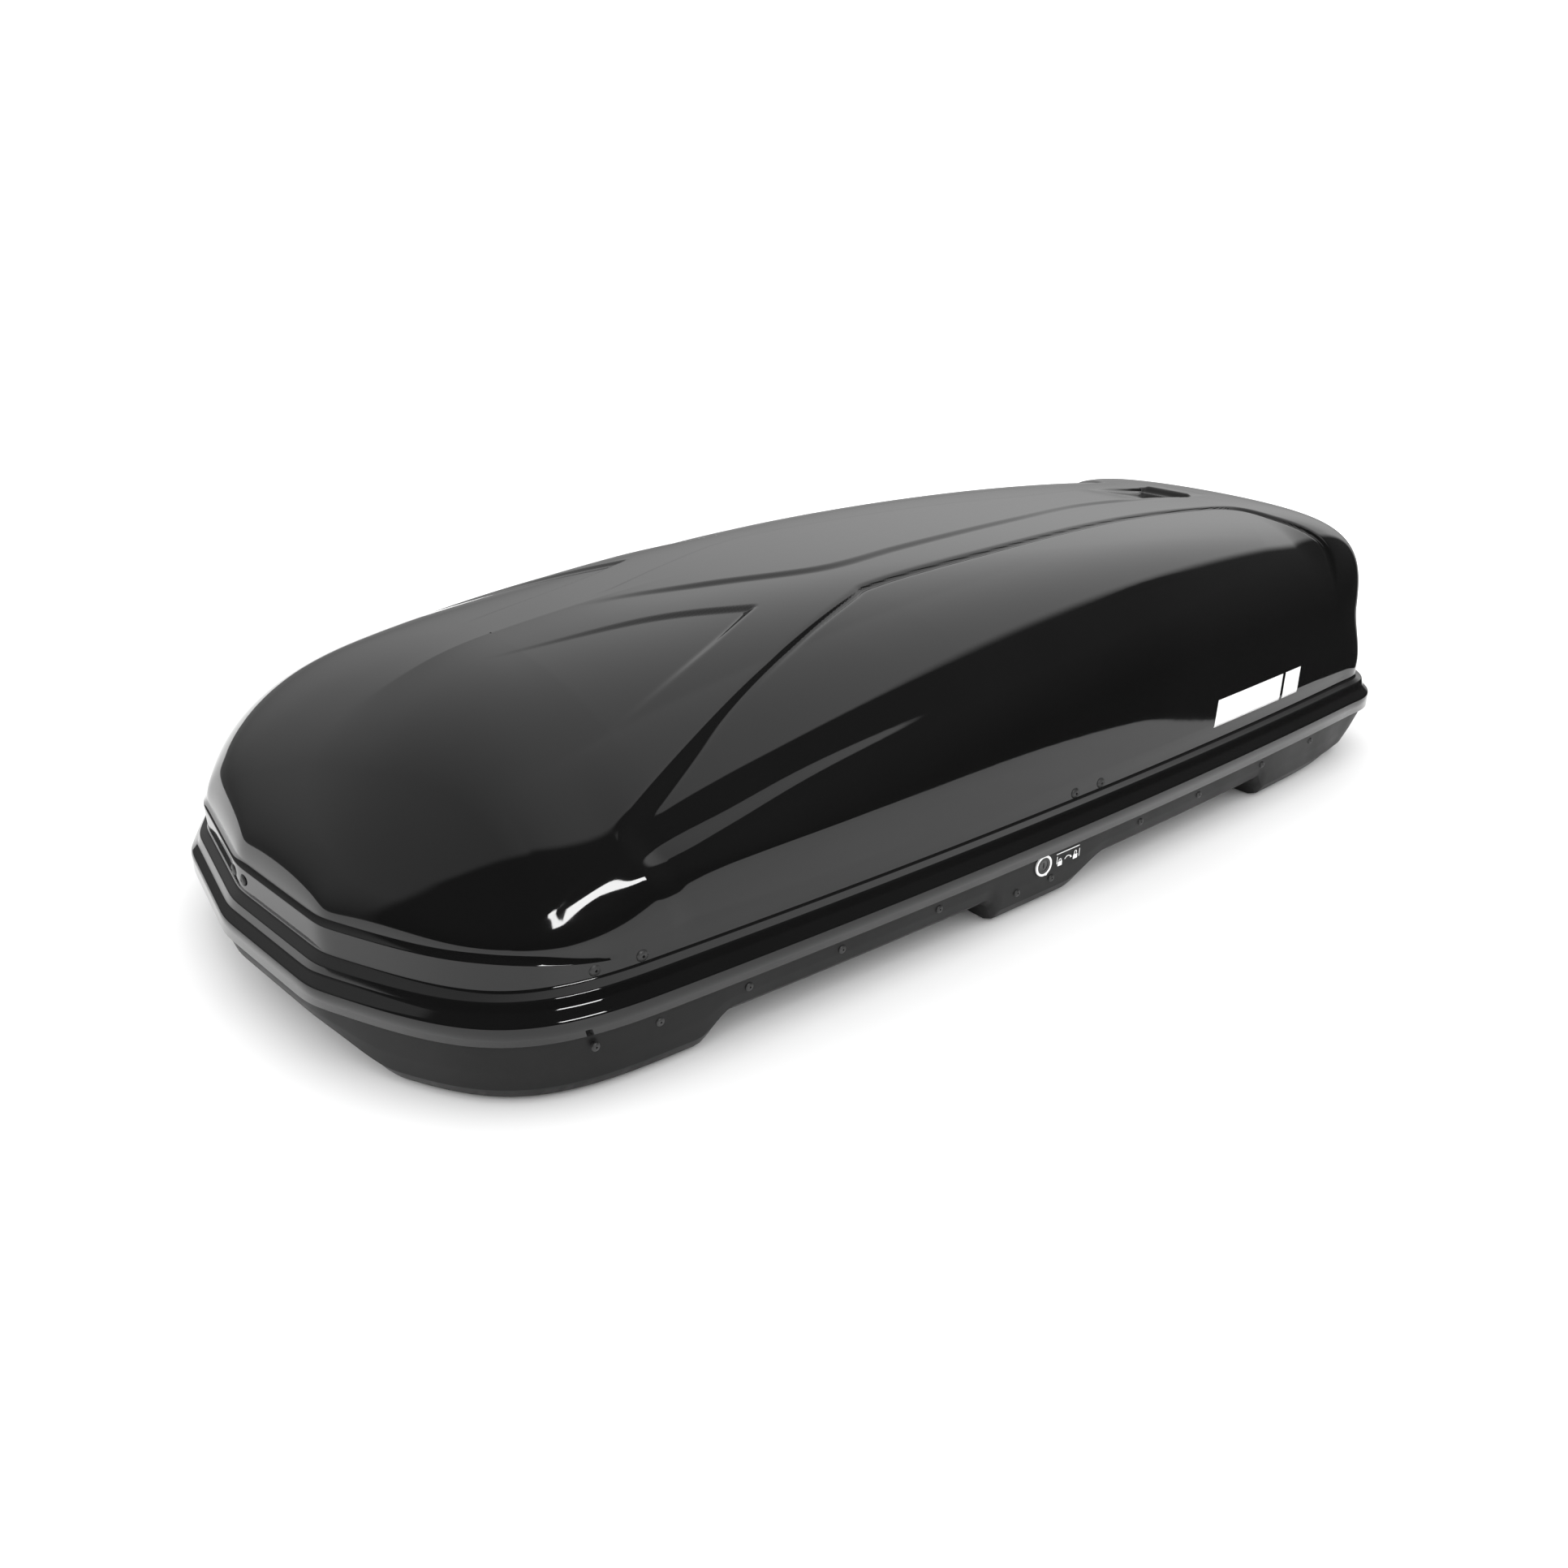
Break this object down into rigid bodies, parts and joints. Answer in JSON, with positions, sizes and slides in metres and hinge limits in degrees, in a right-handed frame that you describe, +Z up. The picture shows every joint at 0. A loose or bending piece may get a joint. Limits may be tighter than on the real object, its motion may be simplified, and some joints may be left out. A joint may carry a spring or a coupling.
{
  "type": "roof cargo box",
  "caption": "Long aerodynamic car roof box with a side-opening lid, key lock and latch bar, gas struts, crossbar clamps and luggage straps.",
  "frame": {"origin": "on the ground under the middle of the box, at the underside of the middle foot", "axes": "+Z up, the nose points to -Y, the lock side is +X, the hinge side is -X"},
  "size_m": [0.876, 1.8, 0.4009],
  "materials": {
    "lid_gloss": "high gloss black acrylic cap over ABS",
    "tray_plastic": "satin black vacuum-formed sheet",
    "zinc_steel": "zinc-plated pressed steel",
    "black_steel": "black powder coat",
    "rod_chrome": "hard chrome",
    "lock_metal": "dark nickel",
    "white_mark": "white print on a thin plate",
    "black_plastic": "fine grain",
    "grip_plastic": "grained grip plastic",
    "rivet_plastic": "satin black",
    "webbing": "woven polyester webbing"
  },
  "bodies": {
    "base": {"base_tray": "tray_plastic", "lock_rail": "zinc_steel", "hinge_rail": "zinc_steel", "floor_plates": "zinc_steel", "base_rivets_lock_side": "rivet_plastic", "base_rivets_hinge_side": "rivet_plastic", "lock_housing": "black_plastic", "lock_ring": "white_mark", "lock_label": "white_mark", "lock_nut": "zinc_steel", "hinge_base_leaves": "black_steel", "hinge_pins": "zinc_steel", "strut_base_brackets": "zinc_steel", "clamp_housing_front_left": "black_plastic", "clamp_housing_front_right": "black_plastic", "clamp_housing_rear_left": "black_plastic", "clamp_housing_rear_right": "black_plastic", "strap_anchors": "black_plastic", "luggage_strap_front": "webbing", "luggage_strap_rear": "webbing", "strap_buckle_front": "black_plastic", "strap_buckle_rear": "black_plastic"},
    "lid": {"lid_shell": "lid_gloss", "lid_rivets": "rivet_plastic", "lid_strikers": "zinc_steel", "lid_hinge_stiffener": "zinc_steel", "hinge_lid_leaves": "black_steel", "strut_lid_brackets": "zinc_steel", "side_badges": "white_mark"},
    "lock": {"lock_plug": "lock_metal", "lock_cam": "zinc_steel"},
    "latch": {"latch_bar": "zinc_steel", "latch_hooks": "zinc_steel"},
    "strut_cylinder_front": {"strut_cylinder_front": "black_steel"},
    "strut_rod_front": {"strut_rod_front": "rod_chrome"},
    "strut_cylinder_rear": {"strut_cylinder_rear": "black_steel"},
    "strut_rod_rear": {"strut_rod_rear": "rod_chrome"},
    "knob_front_left": {"clamp_knob_front_left": "grip_plastic"},
    "claw_front_left": {"clamp_claw_front_left": "zinc_steel"},
    "knob_front_right": {"clamp_knob_front_right": "grip_plastic"},
    "claw_front_right": {"clamp_claw_front_right": "zinc_steel"},
    "knob_rear_left": {"clamp_knob_rear_left": "grip_plastic"},
    "claw_rear_left": {"clamp_claw_rear_left": "zinc_steel"},
    "knob_rear_right": {"clamp_knob_rear_right": "grip_plastic"},
    "claw_rear_right": {"clamp_claw_rear_right": "zinc_steel"}
  },
  "joints": [
    {"name": "lid_hinge", "type": "hinge", "parent": "base", "child": "lid", "pos_m": [-0.439, 0, 0.075], "axis": [0, -1, 0], "range_deg": [0, 50]},
    {"name": "lock_turn", "type": "hinge", "parent": "base", "child": "lock", "pos_m": [0.41, -0.024, 0.06], "axis": [-1, 0, 0], "range_deg": [0, 90]},
    {"name": "latch_slide", "type": "slide", "parent": "base", "child": "latch", "axis": [-0.0332, 0.9995, 0], "range_m": [0, 0.0222]},
    {"name": "strut_tilt_front", "type": "hinge", "parent": "base", "child": "strut_cylinder_front", "pos_m": [-0.24494, -0.61, 0.02662], "axis": [0, -1, 0], "range_deg": [0, 25.5]},
    {"name": "strut_extend_front", "type": "slide", "parent": "strut_cylinder_front", "child": "strut_rod_front", "axis": [-0.2334, 0, 0.9724], "range_m": [0, 0.134]},
    {"name": "strut_tilt_rear", "type": "hinge", "parent": "base", "child": "strut_cylinder_rear", "pos_m": [-0.24494, 0.645, 0.02662], "axis": [0, -1, 0], "range_deg": [0, 25.5]},
    {"name": "strut_extend_rear", "type": "slide", "parent": "strut_cylinder_rear", "child": "strut_rod_rear", "axis": [-0.2334, 0, 0.9724], "range_m": [0, 0.134]},
    {"name": "clamp_turn_front_left", "type": "hinge", "parent": "base", "child": "knob_front_left", "pos_m": [0.235, -0.33, 0.07], "axis": [0, 0, 1], "range_deg": [0, 360]},
    {"name": "clamp_drop_front_left", "type": "slide", "parent": "base", "child": "claw_front_left", "axis": [0, 0, -1], "range_m": [0, 0.0202]},
    {"name": "clamp_turn_front_right", "type": "hinge", "parent": "base", "child": "knob_front_right", "pos_m": [-0.235, -0.33, 0.07], "axis": [0, 0, 1], "range_deg": [0, 360]},
    {"name": "clamp_drop_front_right", "type": "slide", "parent": "base", "child": "claw_front_right", "axis": [0, 0, -1], "range_m": [0, 0.0202]},
    {"name": "clamp_turn_rear_left", "type": "hinge", "parent": "base", "child": "knob_rear_left", "pos_m": [0.235, 0.32, 0.07], "axis": [0, 0, 1], "range_deg": [0, 360]},
    {"name": "clamp_drop_rear_left", "type": "slide", "parent": "base", "child": "claw_rear_left", "axis": [0, 0, -1], "range_m": [0, 0.0202]},
    {"name": "clamp_turn_rear_right", "type": "hinge", "parent": "base", "child": "knob_rear_right", "pos_m": [-0.235, 0.32, 0.07], "axis": [0, 0, 1], "range_deg": [0, 360]},
    {"name": "clamp_drop_rear_right", "type": "slide", "parent": "base", "child": "claw_rear_right", "axis": [0, 0, -1], "range_m": [0, 0.0202]}
  ],
  "couplings": [
    {"joint": "latch_slide", "follows": "lock_turn", "m_per_rad": 0.014006},
    {"joint": "strut_tilt_front", "follows": "lid_hinge", "ratio": 0.5},
    {"joint": "strut_extend_front", "follows": "lid_hinge", "m_per_rad": 0.152},
    {"joint": "strut_tilt_rear", "follows": "lid_hinge", "ratio": 0.5},
    {"joint": "strut_extend_rear", "follows": "lid_hinge", "m_per_rad": 0.152},
    {"joint": "clamp_drop_front_left", "follows": "clamp_turn_front_left", "m_per_rad": 0.0031831},
    {"joint": "clamp_drop_front_right", "follows": "clamp_turn_front_right", "m_per_rad": 0.0031831},
    {"joint": "clamp_drop_rear_left", "follows": "clamp_turn_rear_left", "m_per_rad": 0.0031831},
    {"joint": "clamp_drop_rear_right", "follows": "clamp_turn_rear_right", "m_per_rad": 0.0031831}
  ]
}
